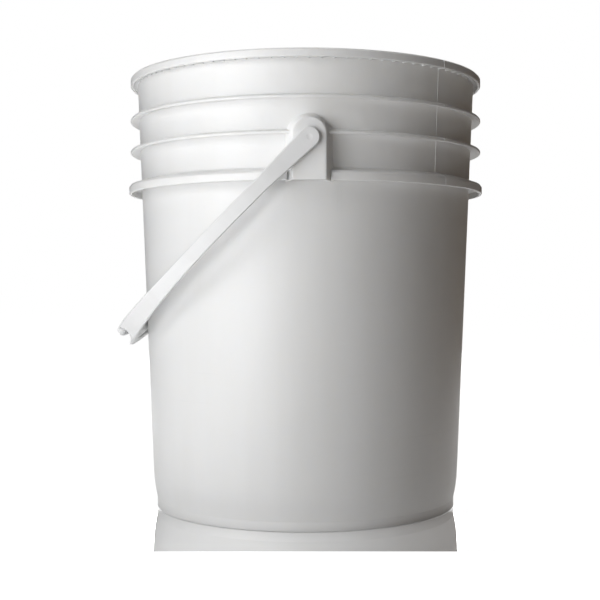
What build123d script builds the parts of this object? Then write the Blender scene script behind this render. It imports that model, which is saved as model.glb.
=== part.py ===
from build123d import *
import os
from math import acos, asin, atan2, cos, degrees, hypot, radians, sin, tan

# Open-topped plastic pail of about 20 litres with a moulded strap handle (the bail).
# Millimetres, +Z up. The origin is the centre of the foot ring, on the floor.
# The two ears stand on -Y and +Y, and the bail lies down towards -X.

# Wall, floor and foot
pail_height = 364.5
wall_draft = 2.38  # degrees from upright
wall_thickness = 2.3
foot_inset = 1.9  # of the foot ring inside the line of the wall
foot_height = 7.5
foot_thickness = 2.6
heel_height = 30.0  # below this the wall curves in towards the foot
inner_heel_radius = 10.0
floor_clear = 5.5  # underside of the floor above the ground
floor_thickness = 2.6
gate_radius = 7.0  # shallow round recess where the plastic entered the mould
gate_depth = 0.6
edge_bevel = 0.5

# Rim, a hooked lip that a lid snaps over
rim_radius = 151.0  # the size that lids are made to
rim_reach = 5.75  # out from the wall
rim_drop = 6.6
rim_flange_thickness = 2.6
rim_lip_thickness = 2.2
rim_corner_bevel = 1.3

# Two thin drooping fins
fin_root_thickness = 3.0
fin_tip_thickness = 2.4
fin_droop = 2.5
fin_tip_bevel = 0.6
upper_fin_drop = 32.5  # from the mouth down to the top of the fin's root
lower_fin_drop = 59.2

# Skirt, hollow and open below
skirt_drop = 98.5  # from the mouth down to the skirt's lower edge
skirt_face_height = 7.0
skirt_slope_height = 4.0
skirt_reach = 10.9  # out from the wall
skirt_thickness = 2.2
skirt_corner_bevel = 1.4
skirt_end_gap = 16.4  # half the break that the skirt leaves for each ear
skirt_end_wall = 2.4
skirt_end_bevel = 0.8

# Ears, hollow and open below
pivot_drop = 67.6  # from the mouth down to the pins that carry the bail
ear_stand = 6.0  # of the ear's flat face outside the rim, so that the bail passes the rim
ear_half_width = 12.7
ear_rise = 15.4  # above the pivot
ear_fall = 31.1  # below the pivot
ear_draft = 18.0  # degrees, each side
ear_root_span = 10.0  # degrees round the axis on each side, more than the ear's root takes
ear_plate = 3.0
ear_wall = 2.4
ear_edge_bevel = 0.6

# Bail
grip_rest_gap = 0.4  # between the wall and the grip of the lowered bail
strap_clearance = 0.35
strap_thickness = 4.0
strap_end_radius = 7.7
strap_half_width = 5.6
strap_neck = 50.0  # from the pivot to where the round end has narrowed to the strap
strap_flare_start = 110.0
strap_flare_end = 200.0
strap_edge_bevel = 0.7
sink_radius = 9.0  # ball that shapes the sink mark over each pin
sink_depth = 0.35
bail_straight = 30.0
bail_reach = 220.2  # from the pivot to the lips of the grip
crown_radius = 128.0
grip_half_width = 8.0
grip_shift = 0.6  # of the grip's middle towards its lower lip, away from the bead
grip_thickness = 9.0  # strap at the middle of the grip
belly_depth = 24.8  # from the lips to the back of the grip, which rests on the wall
belly_half_width = 7.0
belly_half_length = 45.0
groove_radius = 7.0
groove_depth = 5.4
groove_half_angle = 22.0
bead_radius = 2.9
bead_rise = 0.4  # of the bead above the lips
grip_wall = 3.0
grip_floor = 5.0  # plastic behind the pockets, at the middle of the grip
pocket_rib = 2.0
pocket_count = 6

# Snap pins
pin_radius = 4.0
pin_clearance = 0.08
pin_head_radius = 5.6
pin_head_length = 3.0
pin_head_gap = 0.35
pin_head_taper = 20.0  # degrees

# Sizes that follow from the ones above
slope = tan(radians(wall_draft))
wall_foot_radius = rim_radius - rim_reach - pail_height * slope  # where the taper would meet the ground
foot_radius = wall_foot_radius - foot_inset
floor_top = floor_clear + floor_thickness
rim_bottom = pail_height - rim_drop
rim_under = pail_height - rim_flange_thickness
fin_radius = rim_radius
upper_fin_height = pail_height - upper_fin_drop
lower_fin_height = pail_height - lower_fin_drop
skirt_bottom = pail_height - skirt_drop
skirt_shoulder = skirt_bottom + skirt_face_height
skirt_root = skirt_shoulder + skirt_slope_height
pivot_height = pail_height - pivot_drop
ear_top = pivot_height + ear_rise
ear_bottom = pivot_height - ear_fall
ear_face = rim_radius + ear_stand


def wall_radius(height):
    """Outside radius of the tapered wall."""
    return wall_foot_radius + height * slope


def inner_radius(height):
    """Inside radius of the tapered wall."""
    return wall_radius(height) - wall_thickness


def buried_radius(height):
    """Radius halfway through the wall, where what stands on the wall is rooted."""
    return wall_radius(height) - wall_thickness / 2


skirt_radius = wall_radius(skirt_shoulder) + skirt_reach


def corners_at(sketch, *points):
    """The sketch's corners that lie at the given points."""
    return [sketch.vertices().sort_by_distance(point)[0] for point in points]


def arch_face(half_width, foot):
    """Arch: a half circle over the ear's width on two straight legs down to the level foot."""
    spring = ear_top - ear_half_width
    with BuildLine() as outline:
        left = Line((-half_width, foot), (-half_width, spring))
        over = CenterArc((0, spring), half_width, 180, -180)
        right = Line(over @ 1, (half_width, foot))
        Line(right @ 1, left @ 0)
    make_face(outline.edges())


def ear_plane(side, distance):
    """Upright plane square to Y at this distance from the axis, facing the axis."""
    return Plane(origin=(0, side * distance, 0), x_dir=(side, 0, 0), z_dir=(0, -side, 0))


def ear_spread(distance):
    """How much wider than its face the ear is on each side, at this distance from the axis."""
    return (ear_face - distance) * tan(radians(ear_draft))


# Ears are drawn on -Y, from the face in to a plane that lies inside the wall.
ear_root = inner_radius(ear_bottom) * cos(radians(ear_root_span))
ear_start = ear_bottom - 2 * ear_wall  # the arches start lower and are cut level at the end
hollow_front = ear_face - ear_plate
hollow_inset = ear_wall / cos(radians(ear_draft))

# One ear: a drafted arch with an even wall, open below and behind.
with BuildPart() as ear:
    with BuildSketch(ear_plane(-1, ear_face)):
        arch_face(ear_half_width, ear_start)
    with BuildSketch(ear_plane(-1, ear_root)):
        arch_face(ear_half_width + ear_spread(ear_root), ear_start)
    loft(ruled=True)
    front = ear.faces().sort_by(Axis.Y)[0]
    chamfer(front.edges().sort_by(Axis.Z)[1:], ear_edge_bevel)
    for distance in (hollow_front, ear_root):
        with BuildSketch(ear_plane(-1, distance)):
            arch_face(ear_half_width + ear_spread(distance) - hollow_inset, ear_start)
    loft(ruled=True, mode=Mode.SUBTRACT)
    split(bisect_by=Plane.XY.offset(ear_bottom))
    with BuildSketch(Plane.XZ):
        with BuildLine():
            Polyline(
                (0, 0),
                (buried_radius(0), 0),
                (buried_radius(pail_height), pail_height),
                (0, pail_height),
                close=True,
            )
        make_face()
    revolve(axis=Axis.Z, mode=Mode.SUBTRACT)

# Room inside the ear, up to the middle of its wall, where the fins stop.
with BuildPart() as ear_room:
    for distance in (hollow_front + ear_plate / 2, ear_root):
        with BuildSketch(ear_plane(-1, distance)):
            arch_face(ear_half_width + ear_spread(distance) - hollow_inset / 2, ear_start)
    loft(ruled=True)

with BuildPart() as pail_body:
    # The two fins droop and thin out from their roots to their bevelled edges.
    for root in (upper_fin_height, lower_fin_height):
        edge_top = root - fin_droop
        edge_bottom = edge_top - fin_tip_thickness
        with BuildSketch(Plane.XZ) as fin:
            with BuildLine():
                Polyline(
                    (buried_radius(root), root),
                    (fin_radius, edge_top),
                    (fin_radius, edge_bottom),
                    (buried_radius(root), root - fin_root_thickness),
                    close=True,
                )
            make_face()
            chamfer(corners_at(fin, (fin_radius, edge_top), (fin_radius, edge_bottom)), fin_tip_bevel)
        revolve(axis=Axis.Z)

    # The skirt starts as a full ring.
    with BuildSketch(Plane.XZ) as skirt:
        with BuildLine():
            Polyline(
                (buried_radius(skirt_root), skirt_root),
                (skirt_radius, skirt_shoulder),
                (skirt_radius, skirt_bottom),
                (buried_radius(skirt_bottom), skirt_bottom),
                close=True,
            )
        make_face()
        chamfer(corners_at(skirt, (skirt_radius, skirt_shoulder)), skirt_corner_bevel)
        chamfer(corners_at(skirt, (skirt_radius, skirt_bottom)), edge_bevel)
    revolve(axis=Axis.Z)

    # Its underside is hollow on both halves, up to an end wall beside each ear.
    end_angle = degrees(asin((skirt_end_gap + skirt_end_wall) / (skirt_radius - skirt_thickness)))
    for start in (-90 + end_angle, 90 + end_angle):
        with BuildSketch(Plane.XZ.rotated((0, 0, start))):
            with BuildLine():
                Polyline(
                    (inner_radius(skirt_bottom), skirt_bottom - skirt_thickness),
                    (inner_radius(skirt_root), skirt_root - skirt_thickness),
                    (skirt_radius - skirt_thickness, skirt_shoulder - skirt_thickness),
                    (skirt_radius - skirt_thickness, skirt_bottom - skirt_thickness),
                    close=True,
                )
            make_face()
        revolve(axis=Axis.Z, revolution_arc=180 - 2 * end_angle, mode=Mode.SUBTRACT)

    # The break in the skirt beside each ear, then the ears themselves.
    break_depth = 2 * (skirt_radius - inner_radius(skirt_bottom))
    with Locations((0, -skirt_radius, skirt_root), (0, skirt_radius, skirt_root)):
        Box(2 * skirt_end_gap, break_depth, 3 * (skirt_root - skirt_bottom), mode=Mode.SUBTRACT)
    skirt_ends = pail_body.faces().filter_by(Axis.X)
    upright_edges = [end.edges().filter_by(Axis.Z).sort_by_distance((0, 0, skirt_root)) for end in skirt_ends]
    chamfer([edges[-1] for edges in upright_edges], skirt_end_bevel)
    with PolarLocations(0, 2):
        add(ear_room.part, mode=Mode.SUBTRACT)
    with PolarLocations(0, 2):
        add(ear.part)

    # Wall, floor, foot and rim are one turned section.
    with BuildSketch(Plane.XZ) as shell:
        foot_inner = foot_radius - foot_thickness
        lip_inner = rim_radius - rim_lip_thickness
        heel_top = (wall_radius(heel_height), heel_height)
        with BuildLine():
            Polyline(
                (0, floor_clear + gate_depth),
                (gate_radius, floor_clear + gate_depth),
                (gate_radius, floor_clear),
                (foot_inner, floor_clear),
                (foot_inner, 0),
                (foot_radius, 0),
                (foot_radius, foot_height),
            )
            TangentArc(heel_top, (foot_radius, foot_height), tangent=(-slope, -1))
            Polyline(
                heel_top,
                (wall_radius(rim_under), rim_under),
                (lip_inner, rim_under),
                (lip_inner, rim_bottom),
                (rim_radius, rim_bottom),
                (rim_radius, pail_height),
                (inner_radius(pail_height), pail_height),
                (inner_radius(floor_top), floor_top),
                (0, floor_top),
                (0, floor_clear + gate_depth),
            )
        make_face()
        fillet(corners_at(shell, (inner_radius(floor_top), floor_top)), inner_heel_radius)
        chamfer(corners_at(shell, (rim_radius, pail_height)), rim_corner_bevel)
        mouth_edge = (inner_radius(pail_height), pail_height)
        chamfer(corners_at(shell, mouth_edge, (rim_radius, rim_bottom), (foot_radius, 0)), edge_bevel)
    revolve(axis=Axis.Z)

    # Holes in the ear plates for the snap pins.
    for side in (-1, 1):
        with Locations(Plane(origin=(0, side * ear_face, pivot_height), z_dir=(0, side, 0))):
            Hole(radius=pin_radius + pin_clearance, depth=ear_plate + ear_wall)

pail_body.part.label = "pail_body"

# The bail is drawn in its own plane through the pivot: x runs along the pivot, y out to the grip.
# It is lowered until the back of its grip meets the wall.
belly_axis = bail_reach - belly_depth + belly_half_width
grip_to_axis = wall_radius(pivot_height) * cos(radians(wall_draft)) + belly_half_width + grip_rest_gap
rest = radians(wall_draft) + acos(grip_to_axis / hypot(belly_axis, grip_shift)) - atan2(grip_shift, belly_axis)
bail_plane = Plane(origin=(0, 0, pivot_height), x_dir=(0, 1, 0), z_dir=(-sin(rest), 0, cos(rest)))
width_plane = Plane(origin=bail_plane.origin, x_dir=bail_plane.z_dir, z_dir=(0, -1, 0))
strap_inner = ear_face + strap_clearance
strap_outer = strap_inner + strap_thickness

# Outer curve: a straight leg, a side arc and the crown arc over the grip, all tangent.
outer_rise = bail_reach - bail_straight
outer_side_radius = (strap_outer**2 + outer_rise**2 - 2 * outer_rise * crown_radius) / (
    2 * (strap_outer - crown_radius)
)
side_centre = (strap_outer - outer_side_radius, bail_straight)
crown_centre = (0, bail_reach - crown_radius)
outer_joint = degrees(atan2(crown_centre[1] - side_centre[1], -side_centre[0]))

# Inner curve: the side arc shares the outer one's centre, and the grip is thicker than the strap.
inner_side_radius = outer_side_radius - strap_thickness
inner_rise = outer_rise - grip_thickness
inner_crown_radius = (side_centre[0] ** 2 + inner_rise**2 - inner_side_radius**2) / (
    2 * (inner_rise - inner_side_radius)
)
inner_crown_centre = (0, bail_straight + inner_rise - inner_crown_radius)
inner_joint = degrees(atan2(inner_crown_centre[1] - side_centre[1], -side_centre[0]))

# Belly of the grip: a boat-shaped keel towards the fingers, hollowed from the outside.
belly_rise = bail_reach - grip_thickness / 2 - belly_axis
core_half_width = belly_half_width - grip_wall
core_half_length = belly_half_length - 2 * grip_wall
belly_plane = Plane(
    origin=bail_plane.from_local_coords(Vector(0, belly_axis, -grip_shift)),
    x_dir=bail_plane.x_dir,
    z_dir=bail_plane.y_dir,
)
keel_axis = Axis(belly_plane.origin, belly_plane.x_dir)


def oval_half(half_length, half_width):
    """Half of an ellipse, on the side of -Y."""
    with BuildLine() as outline:
        arc = EllipticalCenterArc((0, 0), half_length, half_width, 180, arc_size=180)
        Line(arc @ 1, arc @ 0)
    make_face(outline.edges())


def crown_section(angle):
    """Plane across the grip at this angle from its middle: x across the strap, y outwards."""
    out = bail_plane.y_dir * cos(radians(angle)) + bail_plane.x_dir * sin(radians(angle))
    return Plane(origin=crown_point, x_dir=bail_plane.z_dir, z_dir=bail_plane.z_dir.cross(out))


crown_point = bail_plane.from_local_coords(Vector(crown_centre[0], crown_centre[1], 0))
crown_axis = Axis(crown_point, bail_plane.z_dir)
groove_centre = crown_radius + groove_radius - groove_depth

# Core of the grip: a pocket with a level floor, open outwards, with cross ribs left standing.
with BuildPart() as grip_core:
    with BuildSketch(belly_plane.offset(grip_floor - belly_half_width)):
        Ellipse(core_half_length, core_half_width)
    extrude(amount=belly_depth - grip_floor)
    pitch = 2 * core_half_length / pocket_count
    with Locations(belly_plane):
        with GridLocations(pitch, 0, pocket_count - 1, 1):
            Box(pocket_rib, 2 * grip_half_width, 2 * belly_depth, mode=Mode.SUBTRACT)

with BuildPart() as bail_handle:
    with BuildSketch(bail_plane):
        with BuildLine():
            Line((strap_inner, -strap_end_radius), (strap_outer, -strap_end_radius))
            Line((strap_outer, -strap_end_radius), (strap_outer, bail_straight))
            CenterArc(side_centre, outer_side_radius, 0, outer_joint)
            CenterArc(crown_centre, crown_radius, outer_joint, 90 - outer_joint)
            Line((strap_inner, -strap_end_radius), (strap_inner, bail_straight))
            CenterArc(side_centre, inner_side_radius, 0, inner_joint)
            CenterArc(inner_crown_centre, inner_crown_radius, inner_joint, 90 - inner_joint)
            mirror(about=Plane.YZ)
        make_face()
    extrude(amount=grip_half_width + grip_shift, both=True)

    # Seen square to the strap: a round end, a narrow arm and a flare into the grip.
    with BuildSketch(width_plane):
        for side in (-1, 1):
            lip = side * grip_half_width - grip_shift
            with BuildLine():
                neck = Polyline(
                    (0, 0),
                    (side * strap_end_radius, 0),
                    (side * strap_half_width, strap_neck),
                    (side * strap_half_width, strap_flare_start),
                )
                TangentArc(neck @ 1, (lip, strap_flare_end), tangent=(0, 1))
                Polyline(
                    (lip, strap_flare_end),
                    (lip, bail_reach + groove_radius),
                    (0, bail_reach + groove_radius),
                    (0, 0),
                )
            make_face()
        Circle(strap_end_radius)
    extrude(amount=strap_outer + strap_thickness, both=True, mode=Mode.INTERSECT)
    chamfer(bail_handle.edges(), strap_edge_bevel)

    # Belly of the grip: straight flanks below the strap, then half an egg.
    with BuildSketch(belly_plane):
        Ellipse(belly_half_length, belly_half_width)
    extrude(amount=belly_rise)
    with BuildSketch(belly_plane):
        oval_half(belly_half_length, belly_half_width)
    revolve(axis=keel_axis, revolution_arc=180)

    # Half-round groove along the outside of the grip, with ball ends.
    with BuildSketch(crown_section(groove_half_angle)):
        with Locations((-grip_shift, groove_centre)):
            Circle(groove_radius)
    revolve(axis=crown_axis, revolution_arc=2 * groove_half_angle, mode=Mode.SUBTRACT)
    for angle in (-groove_half_angle, groove_half_angle):
        with Locations(crown_section(angle)):
            with Locations((-grip_shift, groove_centre)):
                Sphere(groove_radius, mode=Mode.SUBTRACT)
    add(grip_core.part, mode=Mode.SUBTRACT)

    # Rolled bead along the upper lip.
    with BuildSketch(crown_section(groove_half_angle)):
        with Locations((grip_half_width - grip_shift - bead_radius, crown_radius - bead_radius + bead_rise)):
            Circle(bead_radius)
    revolve(axis=crown_axis, revolution_arc=2 * groove_half_angle)

    # Snap pins through the ear plates, and the sink mark over each pin.
    pin_length = strap_clearance + ear_plate + pin_head_gap
    for side in (-1, 1):
        with BuildSketch(ear_plane(side, strap_inner)):
            with Locations((0, pivot_height)):
                Circle(pin_radius)
        extrude(amount=pin_length)
        with BuildSketch(ear_plane(side, strap_inner - pin_length)):
            with Locations((0, pivot_height)):
                Circle(pin_head_radius)
        extrude(amount=pin_head_length, taper=pin_head_taper)
        with Locations((0, side * (strap_outer + sink_radius - sink_depth), pivot_height)):
            Sphere(sink_radius, mode=Mode.SUBTRACT)

bail_handle.part.label = "bail_handle"

os.makedirs("parts", exist_ok=True)
export_step(pail_body.part, "parts/pail_body.step")
export_step(bail_handle.part, "parts/bail_handle.step")
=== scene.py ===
# %% [markdown]
# # Dressing a white plastic pail
# The pail is two mouldings: the pail itself, and the strap handle (the bail) that swings on it.
# Both arrive here as finished solids in metres, with the floor at zero and the two ears on -Y and +Y.
# This lesson gives them their plastic, adds the fine marks that the mould leaves, and lights them.

from math import cos, pi, radians, sin

import bmesh
import bpy
from mathutils import Matrix, Vector


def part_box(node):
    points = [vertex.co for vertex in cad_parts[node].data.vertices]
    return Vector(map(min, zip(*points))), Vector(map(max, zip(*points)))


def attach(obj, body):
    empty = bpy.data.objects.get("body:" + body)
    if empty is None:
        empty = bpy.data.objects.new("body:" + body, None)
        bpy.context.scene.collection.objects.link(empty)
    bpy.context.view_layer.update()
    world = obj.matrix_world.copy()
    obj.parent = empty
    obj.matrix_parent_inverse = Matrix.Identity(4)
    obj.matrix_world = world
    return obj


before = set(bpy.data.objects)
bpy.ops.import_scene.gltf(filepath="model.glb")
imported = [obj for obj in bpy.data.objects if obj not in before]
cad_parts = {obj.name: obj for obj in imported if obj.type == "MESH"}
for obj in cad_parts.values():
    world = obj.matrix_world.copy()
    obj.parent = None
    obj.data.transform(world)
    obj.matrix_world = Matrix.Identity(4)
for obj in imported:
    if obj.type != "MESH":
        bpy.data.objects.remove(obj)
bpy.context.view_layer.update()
scene = bpy.context.scene
scene.view_settings.view_transform = "Standard"
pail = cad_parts["pail_body"]
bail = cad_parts["bail_handle"]

# %% [markdown]
# ## Camera
# The picture was taken with a long lens, level, from a little under the middle of the pail: the foot shows
# as a shallow curve and the mouth is seen edge on, from below. A level camera keeps the sides upright, and
# the small shift of the lens puts the pail where it stands in the frame. The lens is worked out from how
# many pixels one unit of width takes at one unit of distance.

# %% Place the camera
PICTURE_PIXELS = 600
FOCAL_PIXELS = 1125.8
CENTRE_PIXEL = (305.5, 287.9)
CAMERA_DISTANCE = 0.9847
CAMERA_HEIGHT = 0.1861
CAMERA_AZIMUTH = radians(-1.06)

lens = bpy.data.cameras.new("portrait_camera")
lens.sensor_width = 36.0
lens.lens = lens.sensor_width * FOCAL_PIXELS / PICTURE_PIXELS
lens.shift_x = 0.5 - CENTRE_PIXEL[0] / PICTURE_PIXELS
lens.shift_y = CENTRE_PIXEL[1] / PICTURE_PIXELS - 0.5
camera = bpy.data.objects.new("portrait_camera", lens)
camera.location = (
    CAMERA_DISTANCE * sin(CAMERA_AZIMUTH),
    -CAMERA_DISTANCE * cos(CAMERA_AZIMUTH),
    CAMERA_HEIGHT,
)
camera.rotation_euler = (radians(90), 0, CAMERA_AZIMUTH)
scene.collection.objects.link(camera)
scene.camera = camera
print(f"lens {lens.lens:.1f} mm, shift {lens.shift_x:.4f} {lens.shift_y:.4f}")

# %% [markdown]
# ## Node trees as sums
# A plastic is mostly arithmetic: a little more roughness here, a little less colour there. Wiring that by
# hand hides the sum, so one small class stands for a socket and turns plus, minus, times and divide into
# Math nodes. Every other node is added by one method of the tree. Geometry trees use the same two classes.

# %% Two small classes for node trees
class Value:
    """An output socket. Arithmetic on it adds Math nodes to its tree."""

    def __init__(self, graph, socket):
        self.graph = graph
        self.socket = socket

    def out(self, name):
        """Another output of the same node."""
        return Value(self.graph, self.socket.node.outputs[name])

    def math(self, operation, *others):
        """The result of a Math node whose first input is this socket."""
        return self.graph.node("ShaderNodeMath", {"operation": operation}, (self, *others))

    def __add__(self, other):
        return self.math("ADD", other)

    def __sub__(self, other):
        return self.math("SUBTRACT", other)

    def __rsub__(self, other):
        return self.graph.node("ShaderNodeMath", {"operation": "SUBTRACT"}, (other, self))

    def __mul__(self, other):
        return self.math("MULTIPLY", other)

    def __truediv__(self, other):
        return self.math("DIVIDE", other)

    def __rtruediv__(self, other):
        return self.graph.node("ShaderNodeMath", {"operation": "DIVIDE"}, (other, self))

    __radd__ = __add__
    __rmul__ = __mul__


class Graph:
    """A node tree with one method that adds any node."""

    def __init__(self, tree):
        self.tree = tree

    def node(self, kind, settings=None, inputs=(), output=0):
        """Adds a node, sets it up, fills its sockets and gives back one of its outputs."""
        node = self.tree.nodes.new(kind)
        for name, setting in (settings or {}).items():
            setattr(node, name, setting)
        pairs = inputs.items() if isinstance(inputs, dict) else enumerate(inputs)
        for key, value in pairs:
            if isinstance(value, Value):
                self.tree.links.new(value.socket, node.inputs[key])
            else:
                node.inputs[key].default_value = value
        return Value(self, node.outputs[output]) if node.outputs else None


def new_finish(name):
    """An empty material and its graph."""
    material = bpy.data.materials.new(name)
    material.use_nodes = True
    material.node_tree.nodes.clear()
    return material, Graph(material.node_tree)


print("node helpers ready:", Value.__name__, Graph.__name__)

# %% [markdown]
# ## Patterns that plastic needs
# A moulded wall is never one flat grey. The melt flows up the wall and leaves faint long streaks, the steel
# leaves a fine orange peel, and stacked pails rub each other in thin level scratches. All three are noise
# that is stretched in a different direction. The noise reads the place on the piece itself, so it turns
# with the piece and needs no seam.

# %% Stretched noise, masks, colours and bumps
MIX_AMOUNT, MIX_PLAIN, MIX_MARKED, MIX_RESULT = 0, 6, 7, 2  # where a Mix node keeps its colour sockets
MILLIMETRE = 0.001


def place(graph):
    """Position on the piece, in metres."""
    return graph.node("ShaderNodeTexCoord", output="Object")


def grain(graph, where, per_metre, detail=2.0, roughness=0.5):
    """Noise with this many waves to the metre along X, Y and Z."""
    stretched = graph.node("ShaderNodeVectorMath", {"operation": "MULTIPLY"}, (where, per_metre))
    return graph.node(
        "ShaderNodeTexNoise",
        inputs={"Vector": stretched, "Scale": 1.0, "Detail": detail, "Roughness": roughness},
    )


def ease(graph, value, low, high):
    """0 below low, 1 above high, smooth between."""
    return graph.node(
        "ShaderNodeMapRange",
        {"interpolation_type": "SMOOTHSTEP"},
        {"Value": value, "From Min": low, "From Max": high},
    )


def tint(graph, amount, plain, marked):
    """Colour that goes from plain to marked as amount goes from 0 to 1."""
    colours = {MIX_AMOUNT: amount, MIX_PLAIN: plain, MIX_MARKED: marked}
    return graph.node("ShaderNodeMix", {"data_type": "RGBA"}, colours, output=MIX_RESULT)


def bumps(graph, millimetres):
    """Surface directions of a skin that is raised by this many millimetres."""
    return graph.node(
        "ShaderNodeBump", inputs={"Strength": 1.0, "Distance": MILLIMETRE, "Height": millimetres}
    )


print("pattern helpers ready")

# %% [markdown]
# ## The pail's plastic
# Pails like this are polyethylene: white, slightly waxy, with a soft gloss and a little light passing into
# the skin. A clear coat would look like paint, so the gloss is the plastic's own. Streaks and scratches
# change the colour by a percent or two only, and the peel and the slow waves of the wall are a bump, which
# is what breaks up the reflections of a real pail.

# %% Mix the pail's plastic
PAIL_WHITE = (0.872, 0.874, 0.872, 1)
PAIL_STREAK = (0.845, 0.845, 0.838, 1)
SCUFF_GREY = (0.76, 0.755, 0.745, 1)
FOOT_WEAR = (0.003, 0.010)  # heights between which the worn foot fades out
PLASTIC_IOR = 1.5

pail_plastic, graph = new_finish("pail_plastic_white")
where = place(graph)
height = graph.node("ShaderNodeSeparateXYZ", inputs=(where,)).out("Z")
streaks = grain(graph, where, (26, 26, 3), detail=4)
patches = grain(graph, where, (9, 9, 7))
scratches = ease(graph, grain(graph, where, (7, 7, 650), detail=3, roughness=0.6), 0.66, 0.74)
scuffs = scratches * ease(graph, patches, 0.45, 0.65)
worn_foot = 1 - ease(graph, height + 0.006 * patches, *FOOT_WEAR)
marks = 0.35 * scuffs + 0.25 * worn_foot
colour = tint(graph, ease(graph, streaks, 0.35, 0.75), PAIL_WHITE, PAIL_STREAK)
colour = tint(graph, marks, colour, SCUFF_GREY)
peel = grain(graph, where, (420, 420, 420), detail=2)
waves = grain(graph, where, (11, 11, 5), detail=1)
plastic = graph.node(
    "ShaderNodeBsdfPrincipled",
    inputs={
        "Base Color": colour,
        "Roughness": 0.40 + 0.07 * patches + 0.05 * streaks + 0.14 * marks,
        "IOR": PLASTIC_IOR,
        "Subsurface Weight": 0.8,
        "Subsurface Radius": (1.0, 0.97, 0.92),
        "Subsurface Scale": 0.0032,
        "Normal": bumps(graph, 0.012 * peel + 0.22 * waves),
    },
)
graph.node("ShaderNodeOutputMaterial", inputs={"Surface": plastic})
pail.data.materials.clear()
pail.data.materials.append(pail_plastic)
print("pail plastic:", len(pail_plastic.node_tree.nodes), "nodes")

# %% [markdown]
# ## The same plastic for the finest marks
# Light that wanders inside a hair-fine ridge is lost in the wall behind it, and the ridge disappears. So the
# marks that the mould leaves get a copy of the pail's plastic in which light doesn't wander.

# %% Copy the plastic
fine_plastic = pail_plastic.copy()
fine_plastic.name = "pail_plastic_fine"
fine_plastic.node_tree.nodes["Principled BSDF"].inputs["Subsurface Weight"].default_value = 0.0
print("copied as", fine_plastic.name)

# %% [markdown]
# ## The bail's plastic
# The handle is moulded apart, in a stiffer grade, from a mould with a fine spark-eroded skin. It is a shade
# cooler and duller than the pail, its streaks run along the strap, and the hand has polished nothing yet.
# It is the same recipe with a finer, stronger peel.

# %% Mix the bail's plastic
BAIL_WHITE = (0.830, 0.835, 0.840, 1)
BAIL_STREAK = (0.800, 0.803, 0.805, 1)
STRAP_SLOPE = radians(45)

bail_plastic, graph = new_finish("bail_plastic_white")
where = place(graph)
along = graph.node(
    "ShaderNodeVectorRotate", {"rotation_type": "Y_AXIS"}, {"Vector": where, "Angle": STRAP_SLOPE}
)
streaks = grain(graph, along, (90, 20, 12), detail=3)
clouds = grain(graph, where, (35, 35, 35))
spark = grain(graph, where, (900, 900, 900), detail=3)
mottle = ease(graph, 0.6 * streaks + 0.4 * clouds, 0.4, 0.7)
plastic = graph.node(
    "ShaderNodeBsdfPrincipled",
    inputs={
        "Base Color": tint(graph, mottle, BAIL_WHITE, BAIL_STREAK),
        "Roughness": 0.38 + 0.08 * clouds + 0.06 * streaks,
        "IOR": PLASTIC_IOR,
        "Subsurface Weight": 0.3,
        "Subsurface Radius": (1.0, 0.98, 0.95),
        "Subsurface Scale": 0.003,
        "Normal": bumps(graph, 0.02 * spark + 0.05 * clouds),
    },
)
graph.node("ShaderNodeOutputMaterial", inputs={"Surface": plastic})
bail.data.materials.clear()
bail.data.materials.append(bail_plastic)
print("bail plastic:", len(bail_plastic.node_tree.nodes), "nodes")

# %% [markdown]
# ## Reading the pail's outline
# The next pieces follow the outside of the pail: down the rim, in under it, out over each fin and over the
# skirt. Those sizes could be typed in again, but a cut through the mesh gives them exactly. A copy of the
# pail is turned, cut along an upright plane, and the cut is walked from the outer edge of the rim down.

# %% Cut the outline
WELD = 1e-6
ON_THE_PLANE = 1e-7
BESIDE_THE_MIDDLE = 0.1  # leaves the cut's far half and the floor's middle out of the walk


def outline_at(angle):
    """Points (radius, height) down the outside, from the rim's edge, on the upright plane at this angle."""
    copy = bmesh.new()
    copy.from_mesh(pail.data)
    bmesh.ops.remove_doubles(copy, verts=copy.verts, dist=WELD)
    bmesh.ops.rotate(copy, verts=copy.verts, matrix=Matrix.Rotation(-angle, 3, "Z"))
    everything = copy.verts[:] + copy.edges[:] + copy.faces[:]
    plane = {"plane_co": (0, 0, 0), "plane_no": (0, 1, 0)}
    cut = bmesh.ops.bisect_plane(copy, geom=everything, dist=ON_THE_PLANE, **plane)
    beside = {}
    for edge in cut["geom_cut"]:
        if isinstance(edge, bmesh.types.BMEdge) and all(vert.co.x > BESIDE_THE_MIDDLE for vert in edge.verts):
            first, second = edge.verts
            beside.setdefault(first, []).append(second)
            beside.setdefault(second, []).append(first)
    start = max(beside, key=lambda vert: vert.co.x + 2 * vert.co.z)
    walk = [start, max(beside[start], key=lambda vert: vert.co.x)]
    while onward := [vert for vert in beside[walk[-1]] if vert not in walk]:
        walk.append(onward[0])
    points = [(vert.co.x, vert.co.z) for vert in walk]
    copy.free()
    return points


def in_millimetres(sizes):
    """Sizes rounded for printing."""
    return [round(size / MILLIMETRE, 2) for size in sizes]


MOULD_SPLIT = radians(-45)
outline = outline_at(MOULD_SPLIT)
print("outline:", len(outline), "points, starting at", in_millimetres(outline[0]))

# %% [markdown]
# ## Pieces grown by nodes
# Repeated marks are made by geometry nodes: one is drawn, then set round the pail as often as needed. The
# tree has named sizes, so a reader can open it and change them. Its result is turned into a plain mesh,
# because a finished piece has to leave this file without its modifier.

# %% Helpers for geometry trees
WHOLE = "NodeSocketInt"
LENGTH = "NodeSocketFloat"


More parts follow.
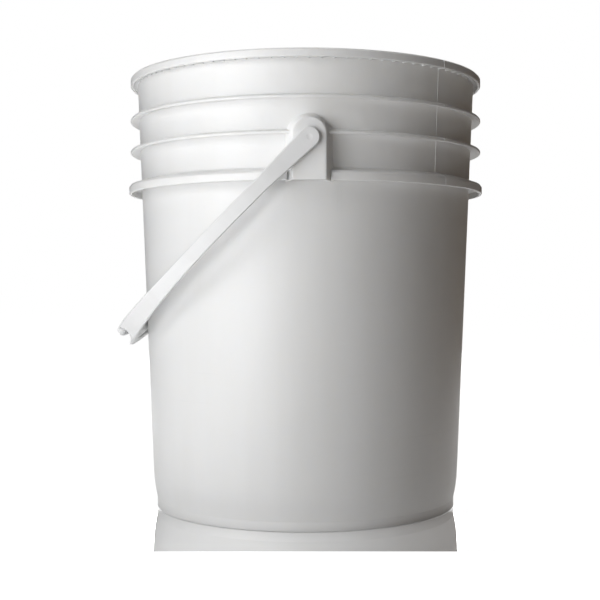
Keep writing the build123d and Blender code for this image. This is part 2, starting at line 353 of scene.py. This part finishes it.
def geometry_graph(name, **kinds):
    """A geometry tree with one named input for each size, and the inputs' identifiers."""
    tree = bpy.data.node_groups.new(name, "GeometryNodeTree")
    tree.interface.new_socket("Geometry", in_out="INPUT", socket_type="NodeSocketGeometry")
    identifiers = {
        size: tree.interface.new_socket(size, in_out="INPUT", socket_type=kind).identifier
        for size, kind in kinds.items()
    }
    tree.interface.new_socket("Geometry", in_out="OUTPUT", socket_type="NodeSocketGeometry")
    graph = Graph(tree)
    return graph, graph.node("NodeGroupInput"), identifiers


def spread_round(graph, shape, count, start=0.0):
    """Evenly spaced copies of a shape, turned about the pail's axis from the start angle on."""
    points = graph.node("GeometryNodePoints", inputs={"Count": count})
    angle = start + graph.node("GeometryNodeInputIndex") * (2 * pi / count)
    turn = graph.node("ShaderNodeCombineXYZ", inputs={"Z": angle})
    return graph.node(
        "GeometryNodeInstanceOnPoints", inputs={"Points": points, "Instance": shape, "Rotation": turn}
    )


def close_graph(graph, shape, material):
    """Ends a tree: real copies instead of instances, in this material."""
    real = graph.node("GeometryNodeRealizeInstances", inputs=(shape,))
    dressed = graph.node("GeometryNodeSetMaterial", inputs={"Geometry": real, "Material": material})
    graph.node("NodeGroupOutput", inputs=(dressed,))


def grow(name, start, graph, identifiers, sizes):
    """The plain mesh object that a tree makes from a start mesh and these sizes, riding on the pail."""
    piece = bpy.data.objects.new(name, start)
    scene.collection.objects.link(piece)
    modifier = piece.modifiers.new("nodes", "NODES")
    modifier.node_group = graph.tree
    for size, value in sizes.items():
        modifier[identifiers[size]] = value
    bpy.context.view_layer.update()
    evaluated = piece.evaluated_get(bpy.context.evaluated_depsgraph_get())
    grown = bpy.data.meshes.new_from_object(evaluated)
    piece.modifiers.remove(modifier)
    piece.data = grown
    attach(piece, "pail")
    report(piece)
    return piece


def report(piece):
    """Prints how much mesh a grown piece has and whether it is closed."""
    check = bmesh.new()
    check.from_mesh(piece.data)
    open_edges = sum(1 for edge in check.edges if not edge.is_manifold)
    volume = check.calc_volume() / MILLIMETRE**3
    print(f"{piece.name}: {len(check.faces)} faces, {open_edges} open edges, {volume:.1f} mm3")
    check.free()


def polylines(name, chains):
    """A mesh of chains of points, each point joined to the next one of its chain."""
    points = []
    edges = []
    for chain in chains:
        edges += [(index, index + 1) for index in range(len(points), len(points) + len(chain) - 1)]
        points += chain
    lines = bpy.data.meshes.new(name)
    lines.from_pydata(points, edges, [])
    return lines


print("geometry helpers ready")

# %% [markdown]
# ## Mould lines
# The upper part of the mould opens in two halves, and where they meet they leave a raised line as fine as
# a thread. It runs down the rim, steps out over the fins and ends at the skirt. The cut outline is already
# that path, so the tree sweeps a small round along it and sets two of them on the pail, half a turn apart.

# %% Grow the mould lines
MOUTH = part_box("pail_body")[1].z
SKIRT_BOTTOM = MOUTH - 0.0985
HAIR = 1e-4
ROUND_SIDES = 6
MOULD_LINE_RADIUS = 0.00034

ridge_graph, entry, ridge_names = geometry_graph("ridges", Count=WHOLE, Radius=LENGTH, Start=LENGTH)
route = ridge_graph.node("GeometryNodeMeshToCurve", inputs=(entry,))
round_edge = ridge_graph.node(
    "GeometryNodeCurvePrimitiveCircle", inputs={"Resolution": ROUND_SIDES, "Radius": entry.out("Radius")}
)
ridge = ridge_graph.node(
    "GeometryNodeCurveToMesh", inputs={"Curve": route, "Profile Curve": round_edge, "Fill Caps": True}
)
ridges = spread_round(ridge_graph, ridge, entry.out("Count"), entry.out("Start"))
close_graph(ridge_graph, ridges, fine_plastic)

skirt_edge = next(index for index, (_, height) in enumerate(outline) if height < SKIRT_BOTTOM + HAIR)
down_to_skirt = [(radius, 0, height) for radius, height in outline[: skirt_edge + 1]]
grow(
    "mould_lines",
    polylines("mould_line_path", [down_to_skirt]),
    ridge_graph,
    ridge_names,
    {"Count": 2, "Radius": MOULD_LINE_RADIUS, "Start": MOULD_SPLIT},
)
print("mould lines end at", in_millimetres(outline[skirt_edge]))

# %% [markdown]
# ## Witness lines beside the ears
# A sliding block of the mould shapes each ear. Where it meets the rest of the mould it leaves two lines finer
# still, side by side, from the skirt's lower edge a little way down the wall. They are the same sweep along
# another path, so the same tree grows them, once for each ear.

# %% Grow the witness lines
WITNESS_ANGLES = (radians(8.7), radians(9.9))  # from the ear's middle
WITNESS_HEIGHTS = (SKIRT_BOTTOM + 0.001, SKIRT_BOTTOM - 0.022)
WITNESS_RADIUS = 0.00013


def wall_at(points, height):
    """Radius of the wall at this height: the last stretch of the outline that comes down past it."""
    for (lower_radius, lower), (upper_radius, upper) in zip(points[:0:-1], points[-2::-1]):
        if upper >= height >= lower and upper > lower:
            return lower_radius + (upper_radius - lower_radius) * (height - lower) / (upper - lower)


chains = []
for angle in WITNESS_ANGLES:
    beside_ear = outline_at(angle - pi / 2)
    ends = [(wall_at(beside_ear, height), height) for height in WITNESS_HEIGHTS]
    chains.append([(radius * sin(angle), -radius * cos(angle), height) for radius, height in ends])
    print("witness line", [in_millimetres(point) for point in chains[-1]])
grow(
    "witness_lines",
    polylines("witness_line_paths", chains),
    ridge_graph,
    ridge_names,
    {"Count": 2, "Radius": WITNESS_RADIUS, "Start": 0.0},
)

# %% [markdown]
# ## The hook of the rim
# The rim is a hook: its lip hangs down outside the wall, with a narrow gap between the two. The webs of the
# next step stand in that gap, so its four sides are read from the outline first.

# %% Measure the gap behind the lip
LIP_REACH = 0.010  # the lip ends within this depth below the mouth
SAME = 1e-5
CLEAR = 0.001
WALL_REACH = 0.02

rim_part = outline[:skirt_edge]
lip_bottom = min(height for _, height in rim_part if height > MOUTH - LIP_REACH)
lip_inner = min(radius for radius, height in rim_part if abs(height - lip_bottom) < SAME)
rim_under = max(height for radius, height in rim_part if radius < lip_inner + SAME)
below_lip = [
    radius for radius, height in rim_part if lip_bottom - WALL_REACH < height < lip_bottom - CLEAR
]
wall_outer = max(radius for radius in below_lip if radius < lip_inner - CLEAR)
print("gap behind the lip: radius", in_millimetres((wall_outer, lip_inner)))
print("gap behind the lip: height", in_millimetres((lip_bottom, rim_under)))

# %% [markdown]
# ## Webs under the rim
# Ninety-six thin webs stiffen the hooked rim. From the front only their lower ends show, as pale dots in the
# shadow under the lip. Each is a small block with draft: thinner at its free lower edge, so that it leaves
# the mould. One block is shaped and set round the pail.

# %% Grow the webs
WEB_SIZES = ("Thickness", "Inner", "Outer", "Bottom", "Top", "Draft")
BITE = 0.0004  # how far a web reaches into the plastic around it

graph, entry, web_names = geometry_graph("rim_webs", Count=WHOLE, **dict.fromkeys(WEB_SIZES, LENGTH))
deep = entry.out("Outer") - entry.out("Inner")
tall = entry.out("Top") - entry.out("Bottom")
size = graph.node("ShaderNodeCombineXYZ", inputs=(deep, entry.out("Thickness"), tall))
block = graph.node("GeometryNodeMeshCube", inputs={"Size": size})
spot = graph.node("ShaderNodeSeparateXYZ", inputs=(graph.node("GeometryNodeInputPosition"),))
pinch = entry.out("Draft") * (spot.out("Z") / tall - 0.5) * spot.out("Y")
thinner = graph.node("ShaderNodeCombineXYZ", inputs={"Y": pinch})
drafted = graph.node("GeometryNodeSetPosition", inputs={"Geometry": block, "Offset": thinner})
middle_radius = 0.5 * (entry.out("Outer") + entry.out("Inner"))
middle_height = 0.5 * (entry.out("Top") + entry.out("Bottom"))
middle = graph.node("ShaderNodeCombineXYZ", inputs={"X": middle_radius, "Z": middle_height})
web = graph.node("GeometryNodeTransform", inputs={"Geometry": drafted, "Translation": middle})
close_graph(graph, spread_round(graph, web, entry.out("Count")), fine_plastic)
grow(
    "rim_webs",
    bpy.data.meshes.new("rim_web_start"),
    graph,
    web_names,
    {
        "Count": 96,
        "Thickness": 0.0014,
        "Inner": wall_outer - 3 * BITE,
        "Outer": lip_inner + BITE,
        "Bottom": lip_bottom - BITE / 4,
        "Top": rim_under + BITE,
        "Draft": 0.25,
    },
)

# %% [markdown]
# ## Floor
# The pail stands on white paper that the camera sees as white. Before its foot lies a small plate of polished
# acrylic, which mirrors the foot and ends in a straight edge six centimetres in front of it. The plate is a
# patch of the same floor, polished between its edges. Its mirror is exact, so that the cards of a later step
# can tell its rays from others.

# %% Lay the floor
FLOOR_HALF = 30.0
FLOOR_GREY = (0.45, 0.45, 0.45, 1)
PURE_WHITE = (1, 1, 1, 1)
NEAR_GLOW = 0.95
GLOW_GROWS = (0.3, 1.4)  # distances from the axis between which the paper's glow rises to 1
PLATE_FRONT = -0.1899
PLATE_BACK = (-0.06, -0.02)
PLATE_SIDE = (0.150, 0.165)
PLATE_POLISH = 0.86


def ray_is(path, *kinds):
    """1 for rays of any of these kinds, 0 for others."""
    found = path.out(kinds[0])
    for kind in kinds[1:]:
        found = found.math("MAXIMUM", path.out(kind))
    return found


sheet = bpy.data.meshes.new("floor_sheet")
sides = ((-1, -1), (1, -1), (1, 1), (-1, 1))
sheet.from_pydata([(FLOOR_HALF * x, FLOOR_HALF * y, 0) for x, y in sides], [], [(0, 1, 2, 3)])
floor = bpy.data.objects.new("floor_sheet", sheet)
scene.collection.objects.link(floor)

floor_finish, graph = new_finish("floor_white")
path = graph.node("ShaderNodeLightPath")
spot = place(graph)
away = graph.node("ShaderNodeVectorMath", {"operation": "LENGTH"}, (spot,), output="Value")
rise = ease(graph, away, *GLOW_GROWS)
glow = (NEAR_GLOW + (1 - NEAR_GLOW) * rise) * ray_is(path, "Is Camera Ray", "Is Glossy Ray")
matte = graph.node("ShaderNodeBsdfDiffuse", inputs={"Color": FLOOR_GREY})
lift = graph.node("ShaderNodeEmission", inputs={"Color": PURE_WHITE, "Strength": glow})
paper = graph.node("ShaderNodeAddShader", inputs=(matte, lift))
mirror = graph.node("ShaderNodeBsdfGlossy", inputs={"Color": PURE_WHITE, "Roughness": 0.0})

inwards = (-sin(CAMERA_AZIMUTH), cos(CAMERA_AZIMUTH), 0)
sideways = (cos(CAMERA_AZIMUTH), sin(CAMERA_AZIMUTH), 0)
ahead = graph.node("ShaderNodeVectorMath", {"operation": "DOT_PRODUCT"}, (spot, inwards), output="Value")
aside = graph.node("ShaderNodeVectorMath", {"operation": "DOT_PRODUCT"}, (spot, sideways), output="Value")
plate_deep = (1 - ease(graph, ahead, *PLATE_BACK)) * ahead.math("GREATER_THAN", PLATE_FRONT)
plate_there = plate_deep * (1 - ease(graph, aside.math("ABSOLUTE"), *PLATE_SIDE))
polish = PLATE_POLISH * plate_there * path.out("Is Camera Ray")
surface = graph.node("ShaderNodeMixShader", inputs=(polish, paper, mirror))
graph.node("ShaderNodeOutputMaterial", inputs={"Surface": surface})
sheet.materials.append(floor_finish)
print("floor placed, mirror plate", in_millimetres((2 * PLATE_SIDE[0], PLATE_BACK[0] - PLATE_FRONT)))

# %% [markdown]
# ## Background
# Behind the pail everything is white for the camera and for reflections, as in a cut-out catalogue picture.
# The background lights nothing, so the right side of the pail can stay dark.

# %% Set the background
world = bpy.data.worlds.new("studio")
world.use_nodes = True
world.node_tree.nodes.clear()
scene.world = world
graph = Graph(world.node_tree)
path = graph.node("ShaderNodeLightPath")
shown = ray_is(path, "Is Camera Ray", "Is Glossy Ray", "Is Transmission Ray")
backdrop = graph.node("ShaderNodeBackground", inputs={"Color": PURE_WHITE, "Strength": shown})
graph.node("ShaderNodeOutputWorld", inputs={"Surface": backdrop})
print("background ready")

# %% [markdown]
# ## Cards
# A white pail on white is drawn by its edges. A black card on the left keeps light from the outline there,
# and a brown one on the right gives back a little warm light, most of it low down. The camera looks past
# both. So does the floor's mirror, whose rays are the only singular ones: it would show the cards as dark
# shapes on the paper.

# %% Stand the cards up
CARD_TOP = 1.2
CARD_SPLIT = 0.26
CARD_BROWN = (1.0, 0.70, 0.45, 1)
RIGHT_ENDS = ((0.62, -1.0), (0.72, 2.3))


def card(name, ends, heights, colour, strength):
    """An upright studio card between two places on the floor, which gives off a little light."""
    (front, back), (low, high) = ends, heights
    corners = [(*front, low), (*back, low), (*back, high), (*front, high)]
    board = bpy.data.meshes.new(name)
    board.from_pydata(corners, [], [(0, 1, 2, 3)])
    upright = bpy.data.objects.new(name, board)
    scene.collection.objects.link(upright)
    upright.visible_camera = False
    finish, graph = new_finish(name)
    path = graph.node("ShaderNodeLightPath")
    flat = graph.node("ShaderNodeEmission", inputs={"Color": colour, "Strength": strength})
    white = graph.node("ShaderNodeEmission", inputs={"Color": PURE_WHITE, "Strength": 1.0})
    shown = graph.node("ShaderNodeMixShader", inputs=(path.out("Is Singular Ray"), flat, white))
    graph.node("ShaderNodeOutputMaterial", inputs={"Surface": shown})
    board.materials.append(finish)
    return upright


cards = (
    card("card_left", ((-0.40, -0.22), (-0.74, 2.2)), (0, CARD_TOP), PURE_WHITE, strength=0.02),
    card("card_right_low", RIGHT_ENDS, (0, CARD_SPLIT), CARD_BROWN, strength=0.13),
    card("card_right_top", RIGHT_ENDS, (CARD_SPLIT, CARD_TOP), CARD_BROWN, strength=0.03),
)
print("cards:", [upright.name for upright in cards])

# %% [markdown]
# ## Lamps
# One large soft light stands on the left, a little in front, and a low one beside it reaches the foot. Lit
# boards on the floor throw light up under rim, fins and strap, which keeps the shadows there soft. A lamp
# behind and one above give a plain grey to the back and the inside, which the picture doesn't show.

# %% Hang the lamps and lay the boards
BOARD_LIFT = 0.003
WARM_WHITE = (1.0, 0.99, 0.97)


def area_lamp(name, size, watts):
    """A rectangular lamp at the origin that shines down."""
    lamp = bpy.data.lights.new(name, "AREA")
    lamp.shape = "RECTANGLE"
    lamp.size, lamp.size_y = size
    lamp.energy = watts
    light = bpy.data.objects.new(name, lamp)
    scene.collection.objects.link(light)
    return light


def soft_light(name, size, watts, azimuth, distance, height, aim):
    """A lamp at this place round the pail that looks at a height on its axis."""
    light = area_lamp(name, size, watts)
    turn = radians(azimuth)
    light.location = (distance * sin(turn), -distance * cos(turn), height)
    look = Vector((0, 0, aim)) - light.location
    light.rotation_euler = look.to_track_quat("-Z", "Y").to_euler()
    return light


def floor_board(name, size, watts, middle):
    """A lit white board that lies on the floor and throws light up. The camera looks past it."""
    light = area_lamp(name, size, watts)
    light.location = (*middle, BOARD_LIFT)
    light.rotation_euler = (pi, 0, 0)
    light.visible_camera = False
    return light


soft_light("key_left", (1.4, 1.2), 25.2, azimuth=-57, distance=2.2, height=1.15, aim=0.22)
soft_light("low_left", (1.4, 0.24), 12.8, azimuth=-34, distance=2.2, height=0.14, aim=0.12)
floor_board("board_left", (1.6, 1.7), 13.2, middle=(-1.0, -0.9))
floor_board("board_back_left", (1.2, 1.2), 6.5, middle=(-0.9, 0.9))
floor_board("board_back_right", (1.0, 1.0), 0.9, middle=(0.8, 0.8))
floor_board("light_table", (1.6, 1.6), 0.5, middle=(0.0, 0.0))
back = soft_light("back_soft", (1.0, 0.8), 18.0, azimuth=180, distance=2.2, height=0.8, aim=0.2)
top = soft_light("top_soft", (1.0, 1.0), 4.0, azimuth=180, distance=0.15, height=1.7, aim=0.2)
back.data.color = top.data.color = WARM_WHITE

# %% [markdown]
# ## Sizes, and done
# The marks added here are fractions of a millimetre, so the dressed pail must still fill the same box as
# the solids.

# %% A helper that turns a box into numbers
def plain(box):
    """A box as two lists of numbers."""
    return [[round(float(size), 6) for size in corner] for corner in box]
